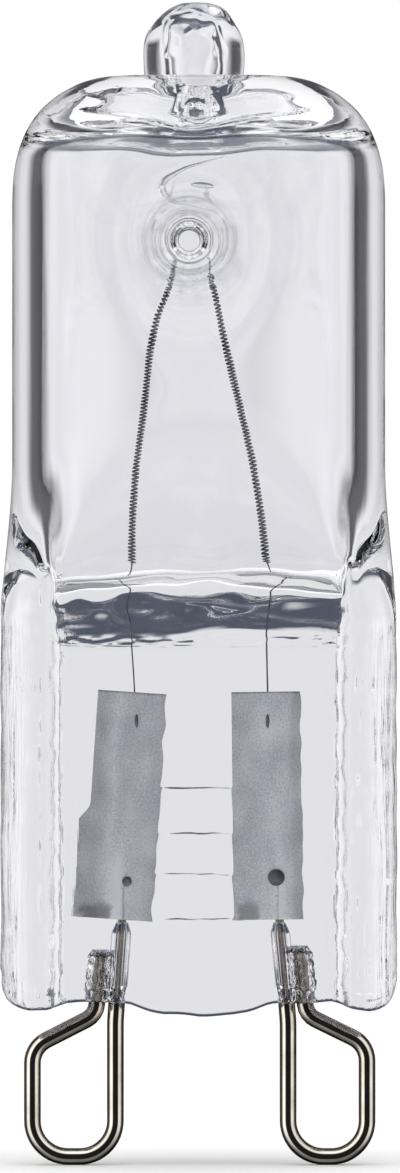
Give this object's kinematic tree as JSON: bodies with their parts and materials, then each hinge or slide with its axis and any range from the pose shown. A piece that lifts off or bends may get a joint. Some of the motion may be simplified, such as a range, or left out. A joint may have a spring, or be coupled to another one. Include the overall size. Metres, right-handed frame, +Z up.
{
  "type": "halogen capsule bulb",
  "caption": "Clear quartz halogen capsule with a pressed seal, molybdenum foils, a coiled filament over a glass post and bent wire contact loops.",
  "frame": {"origin": "on the capsule's axis, level with the lowest point of the two contact loops", "axes": "+Z up along the capsule from the loops to the sealed tip, +X across the flat seal to the right contact loop, +Y through the seal, away from the viewer"},
  "size_m": [0.0146, 0.0138, 0.043],
  "materials": {
    "quartz_glass": "clear, fire polished",
    "tungsten": "drawn wire, satin",
    "molybdenum": "rolled foil, satin",
    "nickel_wire": "drawn wire, bright"
  },
  "bodies": {
    "root": {"glass_envelope": "quartz_glass", "filament": "tungsten", "foil_left": "molybdenum", "foil_right": "molybdenum", "contact_loop_left": "nickel_wire", "contact_loop_right": "nickel_wire"}
  },
  "joints": []
}
